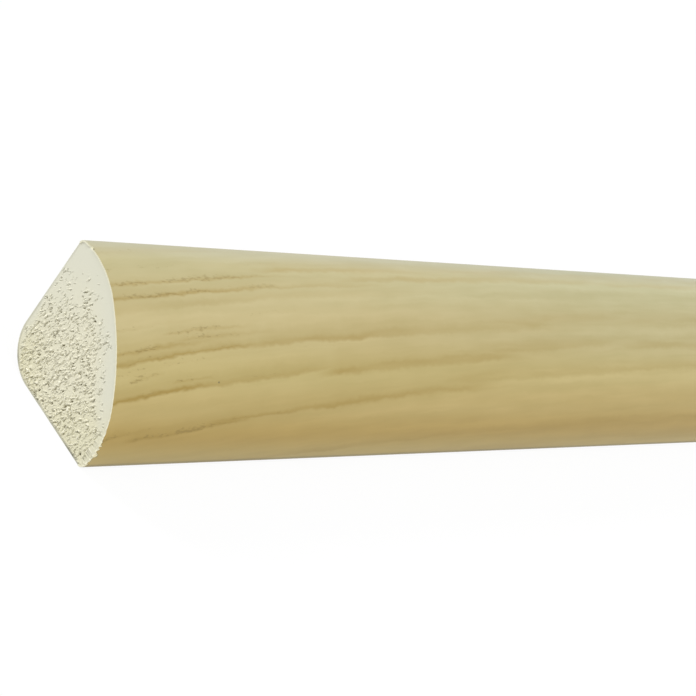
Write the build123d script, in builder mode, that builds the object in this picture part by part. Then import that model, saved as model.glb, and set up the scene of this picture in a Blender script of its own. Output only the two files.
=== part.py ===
from build123d import *

import os
from math import sqrt

# Quarter round moulding: a length of foamed plastic bar, extruded to a quarter-round section and
# sawn square at both ends, with a printed wood-grain film wrapped over its curved face.
#
# The bar lies along X as it rests on a floor. One flat back is down on Z = 0, the other stands
# upright at the rear (+Y), and the curved face looks to the front (-Y) and up. The origin is on
# the floor under the middle of the bar. Lengths are in millimetres.

# Stock size
STOCK_LENGTH = 2438.4  # 8 ft, a length that such moulding is sold in
LEG_WIDTH = 19.05  # 3/4 in, the reach of the section from each flat back, and of its crown

# Finished section
HEEL_RADIUS = 5.4  # eased corner where the two flat backs meet
SHOULDER_RADIUS = 10.8  # the curved face where it turns in to each arris
CROWN_SETBACK = 7.3  # how far the centre of the flatter crown arc lies behind each flat back

# Wrap
FILM_THICKNESS = 0.2
CORE_ARRIS_RADIUS = 0.6  # the foam's own corner at each flat back, under the film


# Tangent arcs of the curved face
# The section is set out in its own plane: the first coordinate runs to the rear and the second
# up, so the upright back is the line y = rear and the lower back is the line z = 0. The section
# is its own mirror image about the line from the heel to the crown.

rear = LEG_WIDTH / 2
crown_radius = LEG_WIDTH + CROWN_SETBACK * sqrt(2)
arris_radius = CORE_ARRIS_RADIUS + FILM_THICKNESS

# The crown arc's centre lies on the mirror line, behind both backs.
crown_centre = Vector(rear + CROWN_SETBACK, -CROWN_SETBACK)

# The lower shoulder arc touches the front of the section's square, and runs into the crown arc.
shoulder_y = SHOULDER_RADIUS - rear
shoulder_rise = sqrt((crown_radius - SHOULDER_RADIUS) ** 2 - (crown_centre.X - shoulder_y) ** 2)
shoulder_centre = Vector(shoulder_y, crown_centre.Y + shoulder_rise)

# The lower arris arc touches the lower back, and runs into the shoulder arc.
arris_drop = shoulder_centre.Y - arris_radius
arris_reach = sqrt((SHOULDER_RADIUS - arris_radius) ** 2 - arris_drop**2)
arris_centre = Vector(shoulder_centre.X - arris_reach, arris_radius)

# Two arcs meet where the line through their centres leaves the section.
down = Vector(0, -1)
arris_end = (arris_centre - shoulder_centre).normalized()
shoulder_end = (shoulder_centre - crown_centre).normalized()


def mirrored_point(point):
    """The mirror image of a point about the line from the heel to the crown."""
    return Vector(rear - point.Y, rear - point.X)


def mirrored_direction(way):
    """The mirror image of a direction about that line."""
    return Vector(-way.Y, -way.X)


# Each arc is its centre, its radius and the directions it starts and ends in, seen from that
# centre. They run from the lower back over the crown to the upright back.
lower_arcs = [
    (arris_centre, arris_radius, down, arris_end),
    (shoulder_centre, SHOULDER_RADIUS, arris_end, shoulder_end),
]
crown_arc = (crown_centre, crown_radius, shoulder_end, mirrored_direction(shoulder_end))
upper_arcs = [
    (mirrored_point(centre), radius, mirrored_direction(end), mirrored_direction(start))
    for centre, radius, start, end in reversed(lower_arcs)
]


def curved_face(depth):
    """Draw the arcs of the curved face at a depth below the finished surface.

    Returns the two ends of the run, at the lower back and at the upright back.
    """
    arcs = []
    for centre, radius, start, end in [*lower_arcs, crown_arc, *upper_arcs]:
        spoke = radius - depth
        middle = (start + end).normalized()
        arcs.append(
            ThreePointArc(centre + start * spoke, centre + middle * spoke, centre + end * spoke)
        )
    return arcs[0] @ 0, arcs[-1] @ 1


sawn_end = Plane.YZ.offset(-STOCK_LENGTH / 2)

# Foam core: the bar itself, set back by the film's thickness under the curved face
with BuildPart() as foam_core:
    with BuildSketch(sawn_end):
        with BuildLine():
            lower_seat, upper_seat = curved_face(FILM_THICKNESS)
            lower_flat = Polyline(lower_seat, (lower_seat.X, 0), (rear - HEEL_RADIUS, 0))
            upright_flat = Polyline(upper_seat, (rear, upper_seat.Y), (rear, HEEL_RADIUS))
            RadiusArc(lower_flat @ 1, upright_flat @ 1, -HEEL_RADIUS)
        make_face()
    extrude(amount=STOCK_LENGTH)
foam_core.part.label = "foam_core"

# Wood-grain film: bonded over the curved face and round both arrises, flush with the flat backs
with BuildPart() as wood_grain_film:
    with BuildSketch(sawn_end):
        with BuildLine():
            lower_seat, upper_seat = curved_face(FILM_THICKNESS)
            lower_edge, upper_edge = curved_face(0)
            Line(lower_seat, lower_edge)
            Line(upper_seat, upper_edge)
        make_face()
    extrude(amount=STOCK_LENGTH)
wood_grain_film.part.label = "wood_grain_film"

os.makedirs("parts", exist_ok=True)
export_step(foam_core.part, "parts/foam_core.step")
export_step(wood_grain_film.part, "parts/wood_grain_film.step")
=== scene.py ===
import logging
import math
from collections.abc import Callable
from dataclasses import dataclass, field
from enum import Enum
from functools import partial

import bpy
import numpy as np
from bpy.types import Material, Node, NodeSocket, NodeTree, Object
from mathutils import Matrix, Vector
from mathutils.geometry import delaunay_2d_cdt


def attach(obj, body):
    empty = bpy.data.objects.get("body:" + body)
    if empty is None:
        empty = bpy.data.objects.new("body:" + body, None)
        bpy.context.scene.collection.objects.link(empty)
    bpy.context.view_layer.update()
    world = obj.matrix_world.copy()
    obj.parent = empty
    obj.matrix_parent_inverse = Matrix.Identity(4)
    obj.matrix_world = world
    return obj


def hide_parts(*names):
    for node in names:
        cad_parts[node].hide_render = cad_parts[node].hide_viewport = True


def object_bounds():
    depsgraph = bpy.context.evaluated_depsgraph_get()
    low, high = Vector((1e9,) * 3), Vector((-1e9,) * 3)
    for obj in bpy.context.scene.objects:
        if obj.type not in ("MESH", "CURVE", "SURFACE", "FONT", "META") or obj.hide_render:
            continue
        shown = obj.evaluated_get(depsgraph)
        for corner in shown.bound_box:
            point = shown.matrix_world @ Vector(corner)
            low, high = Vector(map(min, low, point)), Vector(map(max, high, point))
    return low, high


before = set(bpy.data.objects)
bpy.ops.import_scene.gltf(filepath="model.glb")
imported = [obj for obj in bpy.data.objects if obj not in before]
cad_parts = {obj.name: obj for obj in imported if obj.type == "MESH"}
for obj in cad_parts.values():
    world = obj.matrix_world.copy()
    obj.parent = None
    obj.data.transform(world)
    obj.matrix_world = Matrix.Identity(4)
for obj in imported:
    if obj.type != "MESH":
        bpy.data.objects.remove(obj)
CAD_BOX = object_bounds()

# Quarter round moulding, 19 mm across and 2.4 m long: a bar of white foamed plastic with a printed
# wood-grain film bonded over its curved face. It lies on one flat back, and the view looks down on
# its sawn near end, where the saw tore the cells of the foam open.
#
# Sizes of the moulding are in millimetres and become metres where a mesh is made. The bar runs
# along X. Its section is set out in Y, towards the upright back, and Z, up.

LOG = logging.getLogger("quarter_round")
MM = 0.001
BODY = "root"
IMAGE_SIDE = 696

# The kinds of node that the trees use most. The two colours of a Mix node are its inputs 6 and 7.
MATH = "ShaderNodeMath"
VECTOR_MATH = "ShaderNodeVectorMath"
MAP_RANGE = "ShaderNodeMapRange"
NOISE = "ShaderNodeTexNoise"
MIX = "ShaderNodeMix"
SEPARATE = "ShaderNodeSeparateXYZ"
COMBINE = "ShaderNodeCombineXYZ"

Pair = tuple[float, float]
Triple = tuple[float, float, float]
NodeInput = float | str | tuple | Node | NodeSocket | Material
NodeInputs = dict[int | str, NodeInput] | tuple[NodeInput, ...]
Adder = Callable[..., Node]


class Slot(Enum):
    """The record's material slots."""

    FOAM = "foamed_plastic"
    FILM = "wood_grain_film"


def srgb(code: str) -> tuple[float, float, float, float]:
    """Turn an sRGB hex colour into a linear one.

    Args:
        code: the colour, such as "#d8d5c0".

    Returns:
        Linear red, green and blue, and an alpha of 1.
    """
    shares = [int(code[i : i + 2], 16) / 255 for i in (1, 3, 5)]
    linear = [s / 12.92 if s <= 0.04045 else ((s + 0.055) / 1.055) ** 2.4 for s in shares]
    return (*linear, 1.0)


def feed(node: Node, inputs: NodeInputs) -> None:
    """Give a node's inputs their values and links.

    Args:
        node: the node.
        inputs: what its inputs get, by name or number, or in order from the first: a value, the
            output that feeds the input, or the node whose first output in use feeds it.
    """
    for key, value in inputs.items() if isinstance(inputs, dict) else enumerate(inputs):
        if isinstance(value, Node):
            value = next(output for output in value.outputs if output.enabled)
        if isinstance(value, NodeSocket):
            node.id_data.links.new(value, node.inputs[key])
        else:
            node.inputs[key].default_value = value


def add_node(tree: NodeTree, kind: str, inputs: NodeInputs = (), **settings: object) -> Node:
    """Add a node with its settings and links.

    Args:
        tree: the tree that gets the node.
        kind: the node's type.
        inputs: what its inputs get, as for feed.
        **settings: properties of the node itself.

    Returns:
        The new node.
    """
    node = tree.nodes.new(kind)
    for name, value in settings.items():
        setattr(node, name, value)
    feed(node, inputs)
    return node


def fold(add: Adder, kind: str, values: tuple[NodeInput, ...], **settings: object) -> Node:
    """Add nodes that take in values one after another, each with what came of the ones before.

    Args:
        add: adds a node to the tree.
        kind: the nodes' type.
        values: the values, at least two.
        **settings: properties of each node.

    Returns:
        The last node.
    """
    taken, *others = values
    for value in others:
        taken = add(kind, (taken, value), **settings)
    return taken


def new_material(name: str) -> tuple[Material, Node, Adder]:
    """Make a material.

    Args:
        name: what the real material is.

    Returns:
        The material, its shader, and the function that adds a node to its tree.
    """
    material = bpy.data.materials.new(name)
    material.use_nodes = True
    tree = material.node_tree
    return material, tree.nodes["Principled BSDF"], partial(add_node, tree)


def smooth(value: np.ndarray, low: float, high: float) -> np.ndarray:
    """Rise smoothly from 0 at low to 1 at high."""
    share = np.clip((value - low) / (high - low), 0, 1)
    return share * share * (3 - 2 * share)


def lessened(value: np.ndarray, low: float, high: float, loss: float = 1.0) -> np.ndarray:
    """Fall smoothly from 1 at low by a loss at high."""
    return 1 - loss * smooth(value, low, high)


@dataclass(frozen=True)
class Arc:
    """An arc of the section.

    Attributes:
        centre: its centre, in millimetres.
        radius: its radius on the finished surface.
        start: the direction from the centre to its start.
        end: the direction from the centre to its end.
    """

    centre: Pair
    radius: float
    start: Pair
    end: Pair

    @property
    def turn(self) -> float:
        """The angle that the arc turns through, signed, in radians."""
        cross = self.start[0] * self.end[1] - self.start[1] * self.end[0]
        return math.atan2(cross, self.start[0] * self.end[0] + self.start[1] * self.end[1])

    @property
    def length(self) -> float:
        """The length of the arc on the finished surface."""
        return abs(self.turn) * self.radius

    def points(self, depth: float, shares: np.ndarray) -> np.ndarray:
        """Points along the arc.

        Args:
            depth: how far inside the finished surface they lie.
            shares: where they lie, from 0 at its start to 1 at its end.

        Returns:
            One row for each point.
        """
        angles = math.atan2(self.start[1], self.start[0]) + shares * self.turn
        spokes = np.stack([np.cos(angles), np.sin(angles)], axis=1)
        return np.array(self.centre) + (self.radius - depth) * spokes


@dataclass(frozen=True)
class Section:
    """The moulding's section, in millimetres.

    Attributes:
        leg_width: the reach of the section from each flat back.
        heel_radius: the eased corner between the backs.
        shoulder_radius: the curved face where it turns in to each arris.
        crown_setback: how far the centre of the crown arc lies behind each back.
        core_arris_radius: the foam's corner between the curved face and a back.
        film_thickness: the thickness of the printed film.
    """

    leg_width: float = 19.05
    heel_radius: float = 5.4
    shoulder_radius: float = 10.8
    crown_setback: float = 7.3
    core_arris_radius: float = 0.6
    film_thickness: float = 0.2

    @property
    def rear(self) -> float:
        """The upright back's place across the bar."""
        return self.leg_width / 2

    @property
    def heel(self) -> Arc:
        """The eased corner, from the upright back to the lower one."""
        centre = (self.rear - self.heel_radius, self.heel_radius)
        return Arc(centre, self.heel_radius, (1.0, 0.0), (0.0, -1.0))

    def face_arcs(self) -> list[Arc]:
        """Set out the curved face.

        Returns:
            Its five arcs, from the lower back over the crown to the upright back.
        """
        crown_radius = self.leg_width + self.crown_setback * math.sqrt(2)
        crown = Vector((self.rear + self.crown_setback, -self.crown_setback))
        shoulder_y = self.shoulder_radius - self.rear
        rise = math.sqrt((crown_radius - self.shoulder_radius) ** 2 - (crown.x - shoulder_y) ** 2)
        shoulder = Vector((shoulder_y, crown.y + rise))
        arris_radius = self.core_arris_radius + self.film_thickness
        drop = shoulder.y - arris_radius
        reach = math.sqrt((self.shoulder_radius - arris_radius) ** 2 - drop**2)
        arris = Vector((shoulder.x - reach, arris_radius))
        arris_end = tuple((arris - shoulder).normalized())
        shoulder_end = tuple((shoulder - crown).normalized())
        lower = [
            Arc(tuple(arris), arris_radius, (0.0, -1.0), arris_end),
            Arc(tuple(shoulder), self.shoulder_radius, arris_end, shoulder_end),
        ]
        # The upper arcs mirror the lower ones about the line from the heel to the crown.
        upper = [
            Arc(
                (self.rear - arc.centre[1], self.rear - arc.centre[0]),
                arc.radius,
                (-arc.end[1], -arc.end[0]),
                (-arc.start[1], -arc.start[0]),
            )
            for arc in reversed(lower)
        ]
        crown_end = upper[0].start
        return [*lower, Arc(tuple(crown), crown_radius, shoulder_end, crown_end), *upper]

    @property
    def face_length(self) -> float:
        """The distance round the curved face, from back to back."""
        return sum(arc.length for arc in self.face_arcs())

    def curved_face(self, depth: float, spacing: float) -> tuple[np.ndarray, np.ndarray]:
        """Points along the curved face, from the lower back to the upright one.

        Args:
            depth: how far inside the finished surface they lie.
            spacing: the longest step between two of them on the finished surface.

        Returns:
            The points, and how far round the finished surface each one lies.
        """
        points, run, passed = [], [], 0.0
        for arc in self.face_arcs():
            shares = np.linspace(0, 1, math.ceil(arc.length / spacing) + 1)[:-1]
            points.append(arc.points(depth, shares))
            run.append(passed + shares * arc.length)
            passed += arc.length
        points.append(self.face_arcs()[-1].points(depth, np.ones(1)))
        run.append(np.array([passed]))
        return np.concatenate(points), np.concatenate(run)

    def core_outline(self, spacing: float) -> np.ndarray:
        """Points round the foam, from the lower back over the crown and back round the heel.

        Args:
            spacing: the longest step between two of them.

        Returns:
            One row for each point. The outline closes from the last one to the first.
        """
        face, _ = self.curved_face(self.film_thickness, spacing)
        heel_steps = math.ceil(self.heel.length / spacing)
        heel = self.heel.points(0, np.linspace(0, 1, heel_steps + 1))
        upright = self._straight([face[-1], (self.rear, face[-1][1]), heel[0]], spacing)
        lower = self._straight([heel[-1], (face[0][0], 0.0), face[0]], spacing)
        return np.concatenate([face, upright[1:], heel[1:], lower[1:-1]])

    @staticmethod
    def _straight(corners: list, spacing: float) -> np.ndarray:
        """Points along straight lines.

        Args:
            corners: the points where the lines meet.
            spacing: the longest step between two points.

        Returns:
            One row for each point, from the first corner to the last.
        """
        points = [np.array(corners[0])[None]]
        for first, last in zip(corners, corners[1:]):
            first, last = np.array(first), np.array(last)
            steps = max(1, math.ceil(np.linalg.norm(last - first) / spacing))
            shares = np.linspace(0, 1, steps + 1)[1:, None]
            points.append(first + shares * (last - first))
        return np.concatenate(points)


def make_mesh(name: str, points: np.ndarray, faces: list) -> Object:
    """Make a smooth-shaded mesh object at the origin.

    Args:
        name: the object's name.
        points: its points in metres.
        faces: the point numbers of each face.

    Returns:
        The object, in the scene.
    """
    mesh = bpy.data.meshes.new(name)
    mesh.from_pydata(points.tolist(), [], faces)
    mesh.polygons.foreach_set("use_smooth", [True] * len(mesh.polygons))
    piece = bpy.data.objects.new(name, mesh)
    bpy.context.scene.collection.objects.link(piece)
    return piece


def add_attribute(piece: Object, name: str, values: np.ndarray) -> None:
    """Give each point of a mesh a number."""
    attribute = piece.data.attributes.new(name, "FLOAT", "POINT")
    attribute.data.foreach_set("value", np.asarray(values, np.float32))


def sharpen(piece: Object, corner: float) -> None:
    """Mark the edges that turn by more than a corner angle, in degrees, as sharp."""
    piece.data.set_sharp_from_angle(angle=math.radians(corner))


# Foamed PVC is full of fine gas cells that scatter the light, so it looks chalky white and matt.
# The extrusion die leaves a dense smooth skin under the curved face. The saw tears the cells of
# the middle open, which shows as small dark slits beside walls whitened by the strain. The slits
# are dark partly from their depth and partly from painted shade in their colour. PVC's IOR
# is about 1.53, so the shader's own 1.5 stands, here and on the film, as does its metallic of 0.
@dataclass(frozen=True)
class FoamFinish:
    """Foamed rigid plastic, extruded with a smooth skin and sawn across its cells.

    Attributes:
        skin: the colour of the smooth, unfoamed plastic.
        cells: the warmer colour of the torn foam.
        torn: the colour of a torn cell wall, whitened by the strain.
        core: the yellower colour at the heel, where the thick plastic stayed hot the longest.
        core_in_skin: how much of that colour the smooth skin takes on there.
        rind: the colour of painted shade in a thin line along the flat backs' edges on the sawn ends.
        painted_pit_shade: painted shade deep in a torn cell, darker than the plastic is there.
        whitened: the heights, against the tallest wall's, where a wall starts to whiten and is
            white.
        shaded: the heights, below 0, at which the painted shade in a slit sets in and is full.
        roughness: how matt the plastic is.
        die_line: the spacing of the fine lines that the extrusion die leaves along the backs.
            Real ones are about 0.1 mm apart, and are drawn coarser so that they show.
        die_line_stretch: how many times longer than wide they are.
        die_line_depth: their depth.
        die_line_strength: how strongly that tilts the light.
    """

    skin: str = "#dbdac8"
    cells: str = "#e1ddc5"
    torn: str = "#f3efd9"
    core: str = "#dcd7b7"
    core_in_skin: float = 0.7
    rind: str = "#92917f"
    painted_pit_shade: str = "#857d5f"
    whitened: Pair = (0.3, 1.0)
    shaded: Pair = (-0.35, -1.4)
    roughness: float = 0.55
    die_line: float = 0.5
    die_line_stretch: float = 400.0
    die_line_depth: float = 0.05
    die_line_strength: float = 0.15

    def material(self) -> Material:
        """Foamed PVC: chalky white and matt, yellower where torn, with painted shade in the slits.

        Returns:
            The material, which reads the core's own attributes and Object coordinates.
        """
        material, shader, add = new_material("foamed_pvc_sawn")
        foaming, relief, heel, fresh, rind = [
            add("ShaderNodeAttribute", attribute_name=name).outputs["Fac"]
            for name in ("foaming", "relief", "heel", "fresh", "rind")
        ]
        warm = add(MIX, {0: heel, 6: srgb(self.cells), 7: srgb(self.core)}, data_type="RGBA")
        toned = add(MATH, (heel, self.core_in_skin), operation="MULTIPLY")
        toned = add(MATH, (toned, foaming), operation="MAXIMUM")
        strain = add(MAP_RANGE, (relief, *self.whitened))
        strain = add(MATH, (strain, fresh), operation="MAXIMUM")
        # Deep in a slit the colour turns to painted shade.
        depth = add(MAP_RANGE, (relief, *self.shaded))
        colour: NodeInput = srgb(self.skin)
        for share, other in (
            (toned, warm),
            (strain, srgb(self.torn)),
            (depth, srgb(self.painted_pit_shade)),
            # A thin line of painted shade along the flat backs' edges on the sawn ends.
            (rind, srgb(self.rind)),
        ):
            colour = add(MIX, {0: share, 6: colour, 7: other}, data_type="RGBA")
        raised = self._die_lines(add)
        feed(shader, {"Base Color": colour, "Roughness": self.roughness, "Normal": raised})
        return material

    def _die_lines(self, add: Adder) -> Node:
        """The faint lines of the die, long along the bar and narrow across it.

        Args:
            add: adds a node to the material's tree.

        Returns:
            The surface's direction with the lines raised on it.
        """
        place = add("ShaderNodeTexCoord").outputs["Object"]
        across = 1 / (self.die_line * MM)
        drawn = add("ShaderNodeMapping", {0: place, 3: (across / self.die_line_stretch, across, across)})
        lines = add(NOISE, {0: drawn, "Scale": 1.0, "Detail": 2.0})
        depth = self.die_line_depth * MM
        raised = {"Strength": self.die_line_strength, "Distance": depth, "Height": lines}
        return add("ShaderNodeBump", raised)


@dataclass(frozen=True)
class GrainLine:
    """A growth line of the printed wood.

    Attributes:
        place: how far round the face it starts at the near end, in millimetres.
        width: how wide it is.
        strength: how dark it is, from 0 to 1.
        pores: how crowded the pores above it are: 0 for none, 1 for many, and more for a close row.
        begins: how far along the bar it begins.
        ends: how far along the bar it ends.
    """

    place: float
    width: float
    strength: float
    pores: float
    begins: float = -20.0
    ends: float = 5000.0


# The lines that the sawn end cuts come first in each group of neighbours, and those that take
# over from them further along the bar follow. Lines below the face at the near end climb onto it.
GRAIN_LINES = (
    GrainLine(-14.0, 0.8, 0.8, 0.3),
    GrainLine(-8.0, 0.9, 0.8, 0.3),
    GrainLine(-3.5, 0.7, 0.8, 0.3),
    GrainLine(0.2, 2.4, 0.3, 0.0),
    GrainLine(5.3, 0.5, 0.8, 1.6, ends=8.0),
    GrainLine(4.2, 0.6, 1.0, 1.6, begins=3.0, ends=26.0),
    GrainLine(4.6, 0.65, 0.9, 0.7, begins=14.0, ends=80.0),
    GrainLine(6.0, 0.7, 0.8, 0.5, begins=60.0),
    GrainLine(9.8, 0.6, 1.0, 0.5, ends=46.0),
    GrainLine(9.1, 0.9, 1.0, 0.3, begins=34.0, ends=84.0),
    GrainLine(10.4, 0.8, 0.9, 0.7, begins=66.0),
    GrainLine(12.0, 0.3, 0.35, 1.3, begins=2.0, ends=8.0),
    GrainLine(10.8, 0.3, 0.35, 1.5, begins=9.0, ends=17.0),
    GrainLine(13.1, 0.3, 0.1, 0.4, ends=60.0),
    GrainLine(14.2, 0.6, 1.0, 0.5, ends=30.0),
    GrainLine(14.0, 0.7, 1.0, 0.5, begins=20.0, ends=95.0),
    GrainLine(15.0, 0.7, 0.9, 0.4, begins=78.0),
    GrainLine(15.4, 0.5, 0.75, 1.3, ends=17.0),
    GrainLine(15.9, 0.5, 0.5, 1.0, begins=9.0, ends=27.0),
    GrainLine(16.8, 0.35, 0.4, 1.4, begins=7.0, ends=23.0),
    GrainLine(18.1, 0.4, 0.12, 0.4, ends=60.0),
    GrainLine(20.2, 0.8, 0.3, 0.0),
    GrainLine(21.6, 0.5, 0.75, 1.25, ends=52.0),
    GrainLine(22.5, 0.6, 0.7, 0.8, begins=40.0),
    GrainLine(23.4, 0.5, 0.65, 1.2, ends=34.0),
    GrainLine(24.3, 0.6, 0.6, 0.6, begins=24.0),
    GrainLine(25.4, 0.6, 0.15, 0.45),
    GrainLine(28.0, 1.2, 0.2, 0.3),
)


@dataclass(frozen=True)
class Sheet:
    """What the nodes of the print start from.

    Attributes:
        add: adds a node to the material's tree.
        place: the place of a point of the film: millimetres along the bar and round the face.
        along: the first of them, from the near end.
        across: the second, from the lower back.
    """

    add: Adder
    place: Node
    along: NodeSocket
    across: NodeSocket

    def streaks(
        self, across: NodeInput, size: Pair, detail: float = 1.0, along: NodeInput | None = None
    ) -> Node:
        """Soft streaks along the bar.

        Args:
            across: millimetres across the streaks.
            size: how long and how wide a streak is, in millimetres.
            detail: how much finer detail they have.
            along: millimetres along the streaks, where they don't simply run along the bar.

        Returns:
            The noise, from 0 to 1 about 0.5.
        """
        over_length, over_width = [
            self.add(MATH, (where, step), operation="DIVIDE")
            for where, step in zip((self.along if along is None else along, across), size)
        ]
        cells = self.add(COMBINE, (over_length, over_width))
        settings = {"Vector": cells, "Scale": 1.0, "Detail": detail}
        return self.add(NOISE, settings, noise_dimensions="2D")


# The oak print lies under a thin clear coat that is embossed very finely, so that its colour shows
# evenly and with a low, broad sheen. The ink is brown: more of it takes most from the blue.
@dataclass(frozen=True)
class PrintFinish:
    """Printed decorative film: pale wood grain under a semi-matt clear coat.

    Attributes:
        ground_and_light_tint: the colours between the growth lines, by their shares of the way round
        the face. They are partly the print's own tone and partly painted light: cooler and greyer
        towards the upright back as a painted cool light from above, and warmer towards the lower
        back as a painted warm bounce from below.
        bands: the length, width and strength of each kind of soft band and streak in the ground.
        ink: how much a darker or paler band changes red, green and blue.
        painted_sheen: how much more red, green and blue a stretch of the print sends back, as a
            painted greyish sheen where the upper face further along is seen at a glancing angle.
        painted_sheen_limits: the shares of the way round between which it sets in, and the places
            along the bar between which it begins and ends.
        line: the colour of a growth line.
        line_edge: where its lower edge sets in and is full, against its width.
        ink_noise: the noise where the ink is thin and where it is full.
        line_share: the lines' darkness there.
        line_streak: the length and width of the streaks of thin and full ink.
        line_plain: the lines' darkness where the print is least crisp, as a share.
        sharpness: the lines' sharpness where the print is least and most crisp.
        halo: the darkness of the broad shade above a line.
        halo_widths: the width of that shade against the line's.
        fades: the lengths over which a long line sets in and fades out.
        fade_length: the length of a line from which it does so fully.
        pore: the colour of a pore.
        pore_darkness: how dark a pore is at most.
        pore_size: the length and width of a pore, as those of real oak.
        pore_group: the length and width of a group of pores.
        pore_top: how far above the foot of a line its row of pores ends and is full.
        pore_foot: where the row sets in and is full, from the same foot.
        pore_crowd: the crowding at which pores first show, and at which they show fully.
        pore_crisp: the same for the crispness.
        tick_crowd: the least and the greatest crowding that tell.
        tick_noise: the noise from which on a pore shows, at the one and at the other.
        tick_edge: how far above that it is darkest.
        group_noise: the noise outside a group and in it.
        group_gain: how far a group brings the noise of its pores down.
        arris: the colour of painted shade where the film turns under an arris, away from the light.
        lower_arris_shade: the places round the face between which the painted shade sets in and is full,
            and how dark it is.
        upper_arris_shade: the same from the upright back.
        rise: how far the growth lines climb round the face from the near end.
        closing: the share of their spacing that they lose on the way.
        rise_length: the length over which they climb.
        wavers: the length, width and swing of their wavers.
        broad_waver: the same for the broad one past the length of bar that the view shows.
        shown: that length, and the one where the broad waver is full.
        crisp: the places between which the print of the near end loses its crispness.
        crisp_again: the places between which it gets crisper further along.
        crisp_drift: the length and width of the stretches that are more and less crisp there.
        crisp_share: the crispness of the least and the most crisp of them.
        speck: the colour of a speck of dirt, and of the painted shadow in the film's nick.
        speck_darkness: how dark a speck is.
        speck_core: the radius of its full darkness, against its own.
        specks: each speck's place along the bar and round the face, and its radius. The second is the
            painted shadow in the nick.
        flaked: the stretch round the face where the saw flaked the print off at the bar's ends.
        flaked_ends: how far inside each end of that stretch the flakes reach their full size.
        flake: how far from an end the largest flake reaches.
        flake_noise: the noise where a flake starts and where it is largest.
        flake_edge: how far outside a flake's outline it starts, and how far inside it is bare.
        flake_shadow: how far outside its outline its shadow starts and is full, and how dark it is.
        flake_trace: the reach of a flake at which its shadow starts to show, and shows fully.
        flake_size: how far apart the flakes are along the bar and round the face.
        bare_highlit: the colour of the film under its print, painted brighter than its cut edge as a
            painted highlight on the flakes.
        lifted_shadow: the colour of the painted shadow under the print's lifted edge.
        roughness: how matt the coat is.
        emboss: how deep the pores are pressed in.
        emboss_strength: how strongly that tilts the light.
    """

    ground_and_light_tint: tuple[tuple[float, str], ...] = (
        (0.06, "#c0aa66"),
        (0.17, "#b99d54"),
        (0.30, "#bfaa6c"),
        (0.42, "#c2b175"),
        (0.62, "#c4b581"),
        (0.85, "#b6ad80"),
        (1.0, "#adab91"),
    )
    bands: tuple[Triple, ...] = (
        (70.0, 3.0, 0.08),
        (14.0, 1.6, 0.05),
        (6.0, 3.0, 0.04),
        (9.0, 0.5, 0.025),
    )
    ink: Triple = (1.0, 1.05, 1.7)
    painted_sheen: Triple = (0.0, 0.08, 0.19)
    painted_sheen_limits: tuple[Pair, ...] = ((0.38, 0.6), (45.0, 100.0), (300.0, 140.0))
    line: str = "#9c802c"
    line_edge: Pair = (-0.7, 0.1)
    ink_noise: Pair = (0.35, 0.6)
    line_share: Pair = (0.2, 0.55)
    line_streak: Pair = (18.0, 1.5)
    line_plain: float = 0.44
    sharpness: Pair = (0.3, 0.9)
    halo: float = 0.26
    halo_widths: float = 5.0
    fades: Pair = (6.0, 14.0)
    fade_length: float = 60.0
    pore: str = "#7f6929"
    pore_darkness: float = 0.4
    pore_size: Pair = (0.8, 0.26)
    pore_group: Pair = (6.0, 2.0)
    pore_top: Pair = (0.8, 0.2)
    pore_foot: Pair = (-0.3, 0.0)
    pore_crowd: Pair = (0.05, 0.3)
    pore_crisp: Pair = (0.65, 0.95)
    tick_crowd: Pair = (0.1, 1.9)
    tick_noise: Pair = (0.9, 0.42)
    tick_edge: float = 0.24
    group_noise: Pair = (0.42, 0.58)
    group_gain: float = 0.22
    # Painted shade on the film where it turns under each arris.
    arris: str = "#6f6848"
    lower_arris_shade: Triple = (1.5, 1.15, 0.5)
    upper_arris_shade: Triple = (1.0, 0.5, 0.2)
    rise: float = 10.5
    closing: float = 0.21
    rise_length: float = 52.0
    wavers: tuple[Triple, ...] = (
        (18.0, 6.0, 0.7),
        (4.0, 2.0, 0.6),
        (1.2, 0.8, 0.4),
    )
    broad_waver: Triple = (240.0, 60.0, 9.0)
    shown: Pair = (120.0, 500.0)
    crisp: Pair = (12.0, 80.0)
    crisp_again: Pair = (120.0, 220.0)
    crisp_drift: Pair = (90.0, 1.0)
    crisp_share: Pair = (0.6, 1.0)
    speck: str = "#6b6444"
    speck_darkness: float = 0.9
    speck_core: float = 0.5
    # The second speck is painted shadow in the nick near the upright back.
    specks: tuple[Triple, ...] = ((17.0, 12.4, 0.16), (0.1, 28.7, 0.25))
    flaked: Pair = (0.6, 5.8)
    flaked_ends: Pair = (0.4, 1.5)
    flake: float = 0.65
    flake_noise: Pair = (0.4, 0.62)
    flake_edge: Pair = (0.02, -0.02)
    flake_shadow: Triple = (0.16, 0.08, 0.8)
    flake_trace: Pair = (0.02, 0.1)
    flake_size: Pair = (3.0, 0.5)
    bare_highlit: str = "#f7efc8"
    lifted_shadow: str = "#82784a"
    roughness: float = 0.42
    emboss: float = 0.03
    emboss_strength: float = 0.1

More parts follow.
